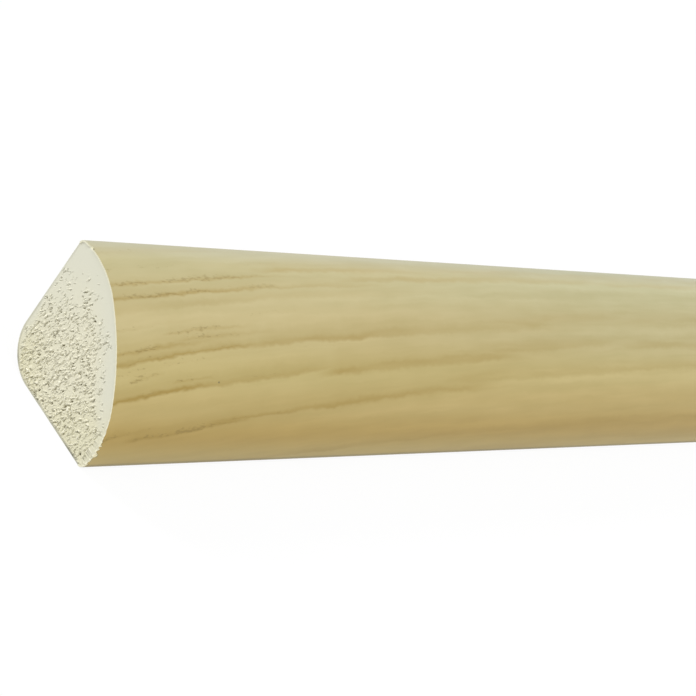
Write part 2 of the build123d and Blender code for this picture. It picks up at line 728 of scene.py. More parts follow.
    def material(self, face_length: float, bar_length: float) -> Material:
        """Printed PVC film: light oak print, with an even low sheen from its clear coat.

        Args:
            face_length: the distance round the curved face in millimetres.
            bar_length: the length of the bar in millimetres.

        Returns:
            The material, which reads the film's own UV map in metres.
        """
        material, shader, add = new_material("printed_pvc_film_oak")
        wrap = add("ShaderNodeUVMap", uv_map="wrap")
        place = add(VECTOR_MATH, (wrap, (1 / MM, 1 / MM, 0)), operation="MULTIPLY")
        along, across = add(SEPARATE, (place,)).outputs[:2]
        sheet = Sheet(add, place, along, across)
        ring = self._ring_coordinate(sheet)
        crisp = self._crispness(sheet)
        lines, crowd = self._growth_lines(sheet, ring, crisp)
        pores = self._pores(sheet, crowd, crisp)
        share = add(MATH, (across, face_length), operation="DIVIDE")
        lifted_shadow, bare_highlit = self._flakes(sheet, bar_length)
        colour: NodeInput = self._ground_and_painted_light(sheet, share, ring)
        for covered, code in (
            (lines, self.line),
            (pores, self.pore),
            (self._arris_shade(sheet, face_length), self.arris),
            (lifted_shadow, self.lifted_shadow),
            (bare_highlit, self.bare_highlit),
            (self._dirt_and_nick_shadow(sheet), self.speck),
        ):
            colour = add(MIX, {0: covered, 6: colour, 7: srgb(code)}, data_type="RGBA")
        depth = self.emboss * MM
        pressed = {"Strength": self.emboss_strength, "Distance": depth, "Height": pores}
        sunk = add("ShaderNodeBump", pressed, invert=True)
        feed(shader, {"Base Color": colour, "Roughness": self.roughness, "Normal": sunk})
        return material

    def _ring_coordinate(self, sheet: Sheet) -> Node:
        """The place across the growth lines, which climb, close up and waver along the bar.

        Args:
            sheet: what the nodes start from.

        Returns:
            Where the growth line through a point lies at the near end, in millimetres.
        """
        add, along = sheet.add, sheet.along
        decay = add(MATH, (along, -self.rise_length), operation="DIVIDE")
        decay = add(MATH, (decay,), operation="EXPONENT")
        run = add(MATH, (1.0, decay), operation="SUBTRACT")
        climb = add(MATH, (run, self.rise), operation="MULTIPLY")
        ring = add(MATH, (sheet.across, climb), operation="SUBTRACT")
        closed = add(MATH, (run, -self.closing, 1.0), operation="MULTIPLY_ADD")
        ring = add(MATH, (ring, closed), operation="DIVIDE")
        unseen = add(MAP_RANGE, (along, *self.shown))
        swings = [(self.broad_waver, unseen), *((waver, 1.0) for waver in self.wavers)]
        for (length, width, swing), share in swings:
            waver = sheet.streaks(sheet.across, (length, width))
            swung = add(MAP_RANGE, (waver, 0.0, 1.0, -swing / 2, swing / 2), clamp=False)
            ring = add(MATH, (swung, share, ring), operation="MULTIPLY_ADD")
        return ring

    def _crispness(self, sheet: Sheet) -> Node:
        """How crisp the print is: it comes and goes along the bar.

        Args:
            sheet: what the nodes start from.

        Returns:
            The crispness, from 0 to 1.
        """
        near = sheet.add(MAP_RANGE, (sheet.along, *self.crisp, 1.0, 0.0))
        later = sheet.add(MAP_RANGE, (sheet.along, *self.crisp_again))
        drift = sheet.streaks(0.0, self.crisp_drift)
        drift = sheet.add(MAP_RANGE, (drift, *self.ink_noise, *self.crisp_share))
        later = sheet.add(MATH, (later, drift), operation="MULTIPLY")
        return sheet.add(MATH, (near, later), operation="MAXIMUM")

    def _growth_lines(self, sheet: Sheet, ring: Node, crisp: Node) -> tuple[Node, Node]:
        """The growth lines and the rows of pores above them.

        Args:
            sheet: what the nodes start from.
            ring: the place across the growth lines.
            crisp: how crisp the print is.

        Returns:
            The darkness of the lines, from 0 to 1 and sharper below than above, and the crowding
            of the pores.
        """
        add, along = sheet.add, sheet.along
        sharpness = add(MAP_RANGE, (crisp, 0.0, 1.0, *self.sharpness))
        lines: NodeInput = 0.0
        halo: NodeInput = 0.0
        crowd: NodeInput = 0.0
        for line in GRAIN_LINES:
            over = add(MATH, (ring, line.place), operation="SUBTRACT")
            blurred = add(MATH, (over, sharpness), operation="MULTIPLY")
            # A line sets in sharply at its lower edge, fades out above, and has a broad shade
            # beyond. Its pores lie in a row just above its lower edge.
            edge = (share * line.width for share in self.line_edge)
            below, above, beyond = [
                add(MAP_RANGE, (blurred, *limits), interpolation_type="SMOOTHSTEP")
                for limits in (
                    (*edge, 0.0, line.strength),
                    (line.width, 0.0),
                    (self.halo_widths * line.width, 0.0),
                )
            ]
            row = add(MAP_RANGE, (over, *self.pore_top, 0.0, line.pores))
            started = add(MAP_RANGE, (over, *self.pore_foot))
            fade = min(1.0, (line.ends - line.begins) / self.fade_length)
            set_in, fade_out = (fade * length for length in self.fades)
            begun = add(MAP_RANGE, (along, line.begins, line.begins + set_in))
            lasting = add(MAP_RANGE, (along, line.ends, line.ends - fade_out))
            drawn = add(MATH, (begun, lasting), operation="MULTIPLY")
            core, shade, row = [
                fold(add, MATH, (*parts, drawn), operation="MULTIPLY")
                for parts in ((below, above), (below, beyond), (row, started))
            ]
            lines, halo, crowd = [
                add(MATH, pair, operation="MAXIMUM")
                for pair in ((core, lines), (shade, halo), (row, crowd))
            ]
        uneven = sheet.streaks(ring, self.line_streak)
        inked = add(MAP_RANGE, (uneven, *self.ink_noise, *self.line_share))
        plain = add(MAP_RANGE, (crisp, 0.0, 1.0, self.line_plain, 1.0))
        dark = fold(add, MATH, (lines, inked, plain), operation="MULTIPLY")
        return add(MATH, (halo, self.halo, dark), operation="MULTIPLY_ADD"), crowd

    def _pores(self, sheet: Sheet, crowd: Node, crisp: Node) -> Node:
        """The pores: short ticks in rows above the growth lines, gathered in groups.

        Args:
            sheet: what the nodes start from.
            crowd: how crowded they are.
            crisp: how crisp the print is, because they show only where it is.

        Returns:
            How dark they are.
        """
        add = sheet.add
        ticks = sheet.streaks(sheet.across, self.pore_size)
        groups = sheet.streaks(sheet.across, self.pore_group)
        # A tick shows where the noise passes a level, and crowding and groups bring that down.
        gathered = add(MAP_RANGE, (groups, *self.group_noise, 0.0, self.group_gain))
        least = add(MAP_RANGE, (crowd, *self.tick_crowd, *self.tick_noise))
        least = add(MATH, (least, gathered), operation="SUBTRACT")
        over = add(MATH, (ticks, least), operation="SUBTRACT")
        dark = add(MAP_RANGE, (over, 0.0, self.tick_edge, 0.0, self.pore_darkness))
        rowed = add(MAP_RANGE, (crowd, *self.pore_crowd))
        near = add(MAP_RANGE, (crisp, *self.pore_crisp))
        return fold(add, MATH, (dark, rowed, near), operation="MULTIPLY")

    def _arris_shade(self, sheet: Sheet, face_length: float) -> Node:
        """Painted shade where the film turns under the arrises.

        Args:
            sheet: what the nodes start from.
            face_length: the distance round the curved face in millimetres.

        Returns:
            How dark the painted shade is there.
        """
        # The film is painted darker where it turns under each arris, as its shade.
        begins, full, darkness = self.lower_arris_shade
        lower = sheet.add(MAP_RANGE, (sheet.across, begins, full, 0.0, darkness))
        begins, full, darkness = self.upper_arris_shade
        high = (face_length - begins, face_length - full, 0.0, darkness)
        upper = sheet.add(MAP_RANGE, (sheet.across, *high))
        return sheet.add(MATH, (lower, upper), operation="MAXIMUM")

    def _dirt_and_nick_shadow(self, sheet: Sheet) -> Node:
        """The few specks of dirt, and the painted shadow in the film's nick.

        Args:
            sheet: what the nodes start from.

        Returns:
            How dark they are.
        """
        dark = []
        for x, s, radius in self.specks:
            away = sheet.add(VECTOR_MATH, (sheet.place, (x, s, 0.0)), operation="DISTANCE")
            edge = (radius, self.speck_core * radius, 0.0, self.speck_darkness)
            dark.append(sheet.add(MAP_RANGE, (away.outputs["Value"], *edge)))
        return fold(sheet.add, MATH, tuple(dark), operation="MAXIMUM")

    def _flakes(self, sheet: Sheet, bar_length: float) -> tuple[Node, Node]:
        """Where the saw broke the print, at both ends of the bar.

        Args:
            sheet: what the nodes start from.
            bar_length: the length of the bar in millimetres.

        Returns:
            The painted shadow round the print's lifted edge, and where the saw flaked the print off.
        """
        add = sheet.add
        back = add(MATH, (bar_length, sheet.along), operation="SUBTRACT")
        inset = add(MATH, (sheet.along, back), operation="MINIMUM")
        teeth = sheet.streaks(sheet.across, self.flake_size, detail=2.0, along=inset)
        reach = add(MAP_RANGE, (teeth, *self.flake_noise, 0.0, self.flake))
        # The flakes get smaller towards both ends of the stretch.
        ends = [
            add(MAP_RANGE, (sheet.across, edge, edge + way * inside))
            for edge, way, inside in zip(self.flaked, (1, -1), self.flaked_ends)
        ]
        reach = fold(add, MATH, (reach, *ends), operation="MULTIPLY")
        # A flake has a crisp edge, and a narrow shadow round it where it is more than a trace.
        left = add(MATH, (inset, reach), operation="SUBTRACT")
        # Where the print flaked off, the bare film is painted bright, as a painted highlight on the
        # flakes.
        bare_highlit = add(MAP_RANGE, (left, *self.flake_edge))
        start, full, darkness = self.flake_shadow
        # The painted shadow round a flake.
        lifted_shadow = add(MAP_RANGE, (left, start, full, 0.0, darkness))
        broken = add(MAP_RANGE, (reach, *self.flake_trace))
        return add(MATH, (lifted_shadow, broken), operation="MULTIPLY"), bare_highlit

    def _ground_and_painted_light(self, sheet: Sheet, share: Node, ring: Node) -> Node:
        """The wood between the lines: soft broad bands and fine streaks, with painted sheen and tints.

        Args:
            sheet: what the nodes start from.
            share: the place round the face as a share of the whole way.
            ring: the place across the growth lines.

        Returns:
            The colour.
        """
        add = sheet.add
        # The ramp across the face is partly painted light: cooler towards the upright back, warmer
        # towards the lower.
        ramp = add("ShaderNodeValToRGB", (share,))
        ramp.color_ramp.interpolation = "EASE"
        stops = ramp.color_ramp.elements
        for number, (at, code) in enumerate(self.ground_and_light_tint):
            stop = stops[number] if number < len(stops) else stops.new(at)
            stop.position = at
            stop.color = srgb(code)
        tints = []
        for length, width, swing in self.bands:
            streaks = sheet.streaks(ring, (length, width))
            tints.append((add(MAP_RANGE, (streaks, 0.0, 1.0, -swing, swing)), self.ink))
        # A painted greyish sheen on the upper face further along, seen there at a glancing angle.
        places = (share, sheet.along, sheet.along)
        sheen_parts = [add(MAP_RANGE, (at, *limits)) for at, limits in zip(places, self.painted_sheen_limits)]
        tints.append((fold(add, MATH, tuple(sheen_parts), operation="MULTIPLY"), self.painted_sheen))
        colour = ramp
        for amount, weights in tints:
            tint = add(VECTOR_MATH, (amount, weights, (1.0, 1.0, 1.0)), operation="MULTIPLY_ADD")
            colour = add(VECTOR_MATH, (colour, tint), operation="MULTIPLY")
        return colour


# The saw leaves the edge of the film plain: the cream of the PVC under the print, a little matt.
@dataclass(frozen=True)
class CutEdgeFinish:
    """Unprinted PVC film: cream, where the saw cut through it.

    Attributes:
        colour: its colour.
        roughness: how matt the cut is.
    """

    colour: str = "#e4e1c9"
    roughness: float = 0.5

    def material(self) -> Material:
        """Cut PVC film, the same all over.

        Returns:
            The material.
        """
        material, shader, _ = new_material("pvc_film_cut_edge")
        feed(shader, {"Base Color": srgb(self.colour), "Roughness": self.roughness})
        return material


@dataclass(frozen=True)
class Plastic:
    """How the plastic varies over the section, in millimetres.

    Heights are taken from the line through heel and crown, up to the tip at the upright back and
    down to the tip at the lower one. A fall has the heights between which it happens and its size.

    Attributes:
        section: the moulding's section.
        step: the spacing of the points of the curved face that depths are taken from.
        skin: the depths under the curved face between which the plastic gets foamed.
        tip_skin: the heights between which the skin grows from its least share, and that share.
        back_skin: the depth of the backs' skin, the further depth over which the plastic gets
            foamed, and what is added to that where the skin is thick.
        thick_skin: the heights between which the backs' skin gets thick, and thin again.
        low_cells: the fall of the foaming towards the lower tip.
        high_cells: its fall towards the upper tip.
        heel_depth: the places from the heel towards the crown between which the heel's colour ends.
        heel_fall: its fall towards the upper tip.
        low_heel: the depths towards the lower tip between which it comes back, and how far.
        painted_edge_shade_depth: the depths under the backs at which the painted edge shade is full and
            ends.
        painted_edge_shade_reach: how far up and down its stretches of their own darkness reach.
        painted_edge_shade_stretches: how many such stretches it has.
        painted_edge_shade_draw: the least and the greatest darkness of a stretch.
        painted_edge_shade_fall: the fall of the painted edge shade up the upright back.
        painted_edge_shade_seed: where the random draw of the darkness starts.
    """

    section: Section
    step: float = 0.3
    skin: Pair = (0.6, 4.5)
    tip_skin: Triple = (-12.0, -4.0, 0.1)
    back_skin: Triple = (0.05, 0.3, 1.2)
    thick_skin: tuple[float, float, float, float] = (-1.5, 1.5, 3.5, 7.5)
    low_cells: Triple = (4.0, 11.0, 0.2)
    high_cells: Triple = (0.0, 12.8, 1.0)
    heel_depth: Pair = (-5.5, 3.0)
    heel_fall: Triple = (0.0, 8.0, 0.6)
    low_heel: Triple = (3.0, 10.0, 0.9)
    painted_edge_shade_depth: Pair = (0.2, 0.38)
    painted_edge_shade_reach: float = 15.0
    painted_edge_shade_stretches: int = 30
    painted_edge_shade_draw: Pair = (0.2, 1.0)
    painted_edge_shade_fall: Triple = (-1.0, 4.0, 0.6)
    painted_edge_shade_seed: int = 8

    def foaming(self, points: np.ndarray) -> np.ndarray:
        """How foamed the plastic is at points of the section.

        Args:
            points: the points.

        Returns:
            0 in the skin, up to 1 in the middle.
        """
        face, _ = self.section.curved_face(0, self.step)
        under = np.full(len(points), np.inf)
        for spot in face:
            under = np.minimum(under, np.hypot(*(points - spot).T))
        height = self._height(points)
        # The skin under the curved face thins out towards the lower tip.
        low, high, least = self.tip_skin
        narrow = least + (1 - least) * smooth(height, low, high)
        # The skin of the backs is thin, but thicker on the upright back just above the heel.
        thick = smooth(height, *self.thick_skin[:2]) * lessened(height, *self.thick_skin[2:])
        start, growth, more = self.back_skin
        skinned = smooth((self._inset(points) - start) / (growth + more * thick), 0, 1)
        inner = smooth(under / narrow, *self.skin) * skinned
        return inner * lessened(height, *self.high_cells) * lessened(-height, *self.low_cells)

    def _inset(self, points: np.ndarray) -> np.ndarray:
        """How far points lie inside the flat backs and the heel between them.

        Args:
            points: the points.

        Returns:
            The distance of each.
        """
        heel = self.section.heel
        beyond = np.maximum((points[:, 0] - heel.centre[0], heel.centre[1] - points[:, 1]), 0)
        return heel.radius - np.hypot(*beyond)

    def _height(self, points: np.ndarray) -> np.ndarray:
        """How far points lie from the line through heel and crown, towards the upright back."""
        return (points[:, 0] + points[:, 1] - self.section.rear) / math.sqrt(2)

    def heel(self, points: np.ndarray) -> np.ndarray:
        """How much of the heel's yellower colour is at points of the section.

        Args:
            points: the points.

        Returns:
            1 at the heel and a little less at the lower tip, down to 0 at the crown.
        """
        depth = (points[:, 1] - points[:, 0]) / math.sqrt(2)
        height = self._height(points)
        heel = lessened(depth, *self.heel_depth) * lessened(height, *self.heel_fall)
        low, high, share = self.low_heel
        return np.maximum(heel, share * smooth(-height, low, high))

    def rind(self, points: np.ndarray) -> np.ndarray:
        """How much painted shade lies along the flat backs' edges, at points of the section.

        Args:
            points: the points.

        Returns:
            0 away from the backs, up to 1 at them, broken at random and less up the upright one.
        """
        height = self._height(points)
        draw = np.random.default_rng(self.painted_edge_shade_seed).uniform(*self.painted_edge_shade_draw, self.painted_edge_shade_stretches)
        places = np.linspace(-self.painted_edge_shade_reach, self.painted_edge_shade_reach, self.painted_edge_shade_stretches)
        rind = lessened(self._inset(points), *self.painted_edge_shade_depth) * np.interp(height, places, draw)
        return rind * lessened(height, *self.painted_edge_shade_fall)


@dataclass(frozen=True)
class TornCell:
    """A cell that the saw tore open, in shares of the room that it takes.

    Attributes:
        bend: how far the net of cells is bent out of true.
        bend_scale: how many bends there are to a cell.
        lean: how far a cell may lean from the slant of the saw, in radians.
        slit: how far its slit lies to one side of its middle.
        wall: how far its wall lies to the other side.
        half_width: half the width of the slit and of the wall, where they end and are full.
        half_length: half their length, likewise.
        heights: the least and the greatest height and depth, against the given ones.
        whole: the share of the draw from which a cell is open whole, with no slit.
        mouth: the radius of such a cell, where it ends and where it is full.
        whole_depth: its depth against a slit's.
    """

    bend: float = 0.8
    bend_scale: float = 1.5
    lean: float = 0.9
    slit: float = 0.16
    wall: float = 0.1
    half_width: Pair = (0.17, 0.051)
    half_length: Pair = (0.45, 0.25)
    heights: Pair = (0.4, 1.1)
    whole: float = 0.95
    mouth: Pair = (0.38, 0.24)
    whole_depth: float = 1.5

    def build(
        self, add: Adder, place: Node, sizes: tuple[Node, ...], density: Node
    ) -> tuple[Node, Node]:
        """Tear cells of one size: short walls, each with a slit along it, and a few open whole.

        Args:
            add: adds a node to the tree.
            place: each point's place, with Z along the slant.
            sizes: the width and the length of the room that a cell takes.
            density: how many of the cells are torn open.

        Returns:
            The depth of the slits and the height of the walls, from 0 to about 1.
        """
        parts = add(SEPARATE, (place,)).outputs[1:3]
        scaled = [add(MATH, pair, operation="DIVIDE") for pair in zip(parts, sizes)]
        flat = add(COMBINE, tuple(scaled))
        noise = {"Vector": flat, "Scale": self.bend_scale, "Detail": 1.0}
        bends = add(NOISE, noise, noise_dimensions="2D").outputs["Color"]
        bent = add(VECTOR_MATH, (bends, (self.bend, self.bend, 0.0), flat), operation="MULTIPLY_ADD")
        net = {"Vector": bent, "Scale": 1.0}
        voronoi = add("ShaderNodeTexVoronoi", net, voronoi_dimensions="2D").outputs
        away = add(VECTOR_MATH, (bent, voronoi["Position"]), operation="SUBTRACT")
        chance, turn, bulk = add(SEPARATE, (voronoi["Color"],)).outputs
        lean = add(MAP_RANGE, (turn, 0.0, 1.0, -self.lean, self.lean))
        turned = {"Vector": away, "Angle": lean}
        away = add("ShaderNodeVectorRotate", turned, rotation_type="Z_AXIS")
        aside, ahead = add(SEPARATE, (away,)).outputs[:2]
        slit_side = add(MATH, (aside, self.slit), operation="ADD")
        wall_side = add(MATH, (aside, -self.wall), operation="ADD")
        slits, walls, run = [
            add(
                MAP_RANGE,
                (add(MATH, (reach,), operation="ABSOLUTE"), *ends),
                interpolation_type="SMOOTHSTEP",
            )
            for reach, ends in (
                (slit_side, self.half_width),
                (wall_side, self.half_width),
                (ahead, self.half_length),
            )
        ]
        torn = add(MATH, (chance, density), operation="LESS_THAN")
        size = add(MAP_RANGE, (bulk, 0.0, 1.0, *self.heights))
        size = fold(add, MATH, (size, torn, run), operation="MULTIPLY")
        slits = add(MATH, (slits, size), operation="MULTIPLY")
        walls = add(MATH, (walls, size), operation="MULTIPLY")
        mouth = (voronoi["Distance"], *self.mouth, 0.0, self.whole_depth)
        hole = add(MAP_RANGE, mouth, interpolation_type="SMOOTHSTEP")
        whole = add(MATH, (bulk, self.whole), operation="GREATER_THAN")
        hole = fold(add, MATH, (hole, whole, torn), operation="MULTIPLY")
        return add(MATH, (slits, hole), operation="MAXIMUM"), walls


@dataclass
class FoamCore:
    """The bar of foamed plastic, with the cells that the saw tore open on its ends.

    Attributes:
        section: the moulding's section.
        length: the bar's length in millimetres.
        finish: how its plastic looks.
        cell: the shape of a torn cell.
        near_grid: the spacing of the points on the near end, fine enough for single cells.
        far_grid: the same on the far end.
        outline_step: the spacing of the points of both outlines, against the near grid's.
        margin: how far inside the outline the grid begins, against its own spacing.
        sparse: in the smooth skin the grid keeps one row and one column in so many.
        least_foaming: the plastic is smooth skin where it is foamed less than this.
        merging: the distance in millimetres within which two points are one.
        cell_length: the room that a large torn cell takes along the slant of the saw.
        cell_width: the room that it takes across the slant.
        cell_shares: the sizes of the large and the small cells, as shares of that room.
        patch: the size of the patches in which the foam is denser or more open.
        patch_noise: the noise in the densest and in the most open patches.
        patch_share: what that adds to the foaming to give the share of cells that are torn open.
        cell_foaming: cells stand out fully from this much foaming on.
        wall: how far the torn wall of a cell stands out.
        pit: how deep the slit beside it is.
        slant: how far the saw's tears lean from upright, in degrees.
        fresh: how far from each end the saw whitened the sides.
        collar: how far from each end the sides are as the die left them.
        crease: edges that turn by more than this, in degrees, are sharp.
        seed: where the pattern of cells starts.
    """

    section: Section
    length: float
    finish: FoamFinish = field(default_factory=FoamFinish)
    cell: TornCell = field(default_factory=TornCell)
    near_grid: float = 0.065
    far_grid: float = 0.12
    outline_step: float = 1.15
    margin: float = 0.6
    sparse: int = 3
    least_foaming: float = 0.02
    merging: float = 1e-7
    cell_length: float = 0.9
    cell_width: float = 0.55
    cell_shares: tuple[float, ...] = (1.0, 0.62)
    patch: float = 2.4
    patch_noise: Pair = (0.35, 0.65)
    patch_share: Pair = (-0.28, 0.15)
    cell_foaming: float = 0.05
    wall: float = 0.12
    pit: float = 0.165
    slant: float = -17.0
    fresh: float = 0.7
    collar: float = 1.5
    crease: float = 40.0
    seed: float = 3.7

    @property
    def plastic(self) -> Plastic:
        """How its plastic varies over the section."""
        return Plastic(self.section)

    def end_face(self, spacing: float) -> tuple[np.ndarray, list[tuple[int, int, int]], list[int]]:
        """The triangles of one end.

        Args:
            spacing: the distance between neighbouring points where the plastic is foamed.

        Returns:
            The points, the triangles, and the numbers of the points on the outline in order.
        """
        outline = self.section.core_outline(self.near_grid * self.outline_step)
        low, high = outline.min(axis=0), outline.max(axis=0)
        rows = np.arange(low[1], high[1], spacing * math.sqrt(3) / 2)
        columns = np.arange(low[0], high[0], spacing)
        grid = np.array([
            (y + spacing / 2 * (j % 2), z) for j, z in enumerate(rows) for y in columns
        ])
        index = np.stack(np.divmod(np.arange(len(grid)), len(columns)), axis=1)
        kept = (index % self.sparse == 0).all(axis=1)
        foamed = self.plastic.foaming(grid) > self.least_foaming
        grid = grid[foamed | (self.plastic.rind(grid) > 0) | kept]
        grid = grid[self._inside(grid, outline, spacing * self.margin)]
        ring = len(outline)
        edges = [(i, (i + 1) % ring) for i in range(ring)]
        points = [Vector(p) for p in np.concatenate([outline, grid])]
        made = delaunay_2d_cdt(points, edges, [], 1, self.merging)
        border = {}
        for number, sources in enumerate(made[3]):
            border.update((source, number) for source in sources if source < ring)
        return np.array(made[0]), [tuple(f) for f in made[2]], [border[i] for i in range(ring)]

    @staticmethod
    def _inside(points: np.ndarray, outline: np.ndarray, margin: float) -> np.ndarray:
        """Which points lie inside the convex outline.

        Args:
            points: the points.
            outline: the outline's points, clockwise with Y to the right.
            margin: how far inside they have to lie.

        Returns:
            True or False for each point.
        """
        way = np.roll(outline, -1, axis=0) - outline
        keep = np.ones(len(points), bool)
        for start, step, size in zip(outline, way, np.hypot(*way.T)):
            cross = step[0] * (points[:, 1] - start[1]) - step[1] * (points[:, 0] - start[0])
            keep &= cross < -margin * size
        return keep

    def build(self) -> Object:
        """Make the whole bar as one closed mesh.

        Returns:
            The bar, with its ends still flat.
        """
        half = self.length / 2 - self.wall
        near, near_faces, near_ring = self.end_face(self.near_grid)
        far, far_faces, far_ring = self.end_face(self.far_grid)
        outline = near[near_ring]
        ring = len(outline)
        offsets = (self.fresh, self.collar)
        stations = [-half + d for d in offsets] + [half - d for d in reversed(offsets)]
        blocks = [np.column_stack([np.full(len(near), -half), near])]
        rings = [near_ring]
        passed = len(near)
        for station in stations:
            blocks.append(np.column_stack([np.full(ring, station), outline]))
            rings.append(list(range(passed, passed + ring)))
            passed += ring
        blocks.append(np.column_stack([np.full(len(far), half), far]))
        rings.append([passed + i for i in far_ring])
        faces = [tuple(reversed(f)) for f in near_faces]
        faces += [tuple(passed + i for i in f) for f in far_faces]
        for first, last in zip(rings, rings[1:]):
            for i in range(ring):
                j = (i + 1) % ring
                faces.append((first[i], last[i], last[j], first[j]))
        bar = make_mesh("foam_core_sawn", np.concatenate(blocks) * MM, faces)
        section = np.concatenate([block[:, 1:] for block in blocks])
        sides = np.repeat([1, 0, 0, 1], ring)
        sawn = np.concatenate([np.ones(len(near)), 0 * sides, np.ones(len(far))])
        fresh = np.concatenate([0 * near[:, 0], sides, 0 * far[:, 0]])
        plastic = self.plastic
        shares = {"foaming": plastic.foaming, "heel": plastic.heel, "rind": plastic.rind}
        for name, share in shares.items():
            add_attribute(bar, name, share(section) * sawn)
        add_attribute(bar, "fresh", fresh)
        sharpen(bar, self.crease)
        return bar

    @property
    def relief_sizes(self) -> dict[str, float]:
        """The relief's sizes in metres and radians, by the names of the tree's inputs."""
        return {
            "Cell length": self.cell_length * MM,
            "Cell width": self.cell_width * MM,
            "Patch size": self.patch * MM,
            "Wall height": self.wall * MM,
            "Slit depth": self.pit * MM,
            "Slant": math.radians(self.slant),
            "Seed": self.seed,
        }

    def relief_tree(self) -> NodeTree:
        """Geometry Nodes that tear the cells open: walls that stand up, each beside its slit.

        Returns:
            The tree, with its sizes as named inputs.
        """
        tree = bpy.data.node_groups.new("torn_cells", "GeometryNodeTree")
        add = partial(add_node, tree)
        kinds = {"Bar": "Geometry"} | dict.fromkeys(self.relief_sizes, "Float") | {"Material": "Material"}
        for name, kind in kinds.items():
            tree.interface.new_socket(name, in_out="INPUT", socket_type=f"NodeSocket{kind}")
        tree.interface.new_socket("Bar", in_out="OUTPUT", socket_type="NodeSocketGeometry")
        given = add("NodeGroupInput").outputs
        end = add(SEPARATE, (add("GeometryNodeInputPosition"),))
        end = add(MATH, (end,), operation="SIGN")
        place = self._slanted_place(add, given, end)
        foaming = add("GeometryNodeInputNamedAttribute", {"Name": "foaming"}, data_type="FLOAT")
        # More cells are torn open in some patches than in others, and none in the smooth skin.
        over_patch = add(VECTOR_MATH, (place, given["Patch size"]), operation="DIVIDE")
        noise = {"Vector": over_patch, "Scale": 1.0, "Detail": 1.0}
        patches = add(NOISE, noise, noise_dimensions="3D")
        density = add(MAP_RANGE, (patches, *self.patch_noise, *self.patch_share))
        density = add(MATH, (foaming, density), operation="ADD")
        fade = add(MAP_RANGE, (foaming, 0.0, self.cell_foaming))
        step: NodeInput = 0.0
        relief: NodeInput = 0.0
        for share in self.cell_shares:
            sizes = tuple(
                add(MATH, (given[name], share), operation="MULTIPLY")
                for name in ("Cell width", "Cell length")
            )
            slits, walls = self.cell.build(add, place, sizes, density)
            for part, name, way in ((walls, "Wall height", 1.0), (slits, "Slit depth", -1.0)):
                part = add(MATH, (part, fade), operation="MULTIPLY")
                relief = add(MATH, (part, way, relief), operation="MULTIPLY_ADD")
                reach = add(MATH, (given[name], way * share), operation="MULTIPLY")
                step = add(MATH, (part, reach, step), operation="MULTIPLY_ADD")
        # Walls that cross don't stand out further than one, so the bar keeps its length.
        step = add(MATH, (step, given["Wall height"]), operation="MINIMUM")
        step = add(MATH, (step, end), operation="MULTIPLY")
        shift = add(COMBINE, (step,))
        bar = add("GeometryNodeSetPosition", {"Geometry": given["Bar"], "Offset": shift})
        stored = {"Geometry": bar, "Name": "relief", "Value": relief}
        kept = {"data_type": "FLOAT", "domain": "POINT"}
        bar = add("GeometryNodeStoreNamedAttribute", stored, **kept)
        bar = add("GeometryNodeRealizeInstances", (bar,))
        dressed = {"Geometry": bar, "Material": given["Material"]}
        add("NodeGroupOutput", (add("GeometryNodeSetMaterial", dressed),))
        return tree

    @staticmethod
    def _slanted_place(add: Adder, given: bpy.types.bpy_prop_collection, end: Node) -> Node:
        """Lean the pattern with the tears of the saw, and give each end its own part of it.

        Args:
            add: adds a node to the tree.
            given: the tree's named inputs.
            end: -1 on the near half of the bar and 1 on the far half.

        Returns:
            Each point's place in the pattern, with Z along the slant.
        """
        leant = {"Vector": add("GeometryNodeInputPosition"), "Angle": given["Slant"]}
        turned = add("ShaderNodeVectorRotate", leant, rotation_type="X_AXIS")
        _, across, up = add(SEPARATE, (turned,)).outputs
        shift = add(MATH, (given["Seed"], end), operation="MULTIPLY")
        return add(COMBINE, {1: add(MATH, (across, shift), operation="ADD"), 2: up})

    def tear(self, bar: Object) -> None:
        """Tear the cells open on the bar's ends and keep the result as its own mesh.

        Args:
            bar: the bar, with its ends flat.
        """
        tree = self.relief_tree()
        modifier = bar.modifiers.new("torn_cells", "NODES")
        modifier.node_group = tree
        values = self.relief_sizes | {"Material": self.finish.material()}
        for socket in tree.interface.items_tree:
            if socket.in_out == "INPUT" and socket.name in values:
                modifier[socket.identifier] = values[socket.name]
        bpy.context.view_layer.update()
        graph = bpy.context.evaluated_depsgraph_get()
        torn = bpy.data.meshes.new_from_object(
            bar.evaluated_get(graph), preserve_all_data_layers=True, depsgraph=graph
        )
        bar.modifiers.clear()
        bar.data = torn
        bar.data.name = bar.name

    def make(self) -> Object:
        """Returns:
            The bar.
        """
        bar = self.build()
        self.tear(bar)
        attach(bar, BODY)
        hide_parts("foam_core")
        return bar


